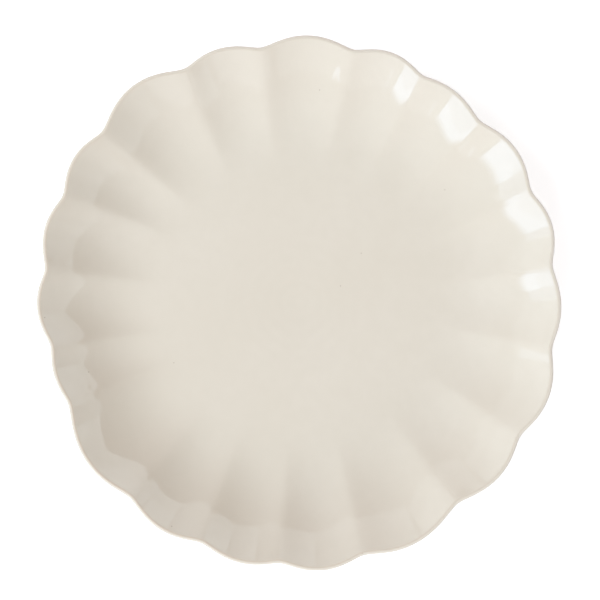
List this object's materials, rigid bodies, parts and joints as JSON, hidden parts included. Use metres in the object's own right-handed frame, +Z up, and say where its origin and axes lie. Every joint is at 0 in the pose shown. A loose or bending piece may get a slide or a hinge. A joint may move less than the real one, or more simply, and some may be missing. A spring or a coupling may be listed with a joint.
{
  "type": "fluted plate",
  "caption": "Round glazed stoneware plate with a flat well, a coved wall of uneven flutes, a scalloped lip and a bare foot ring, for serving food.",
  "frame": {"origin": "on the table, at the middle of the plate's box, under the middle of the well", "axes": "+Z up, out of the well; +X and +Y lie in the table plane, and the flutes are uneven around it"},
  "size_m": [0.2754, 0.281, 0.036],
  "materials": {
    "clay": "bare fired stoneware, matte and finely grained",
    "glaze": "glossy ivory glaze, breaking thin and tan over the lip"
  },
  "bodies": {
    "root": {"plate_body": "clay", "foot_ring": "clay", "face_glaze": "glaze", "back_glaze": "glaze", "foot_well_glaze": "glaze"}
  },
  "joints": []
}
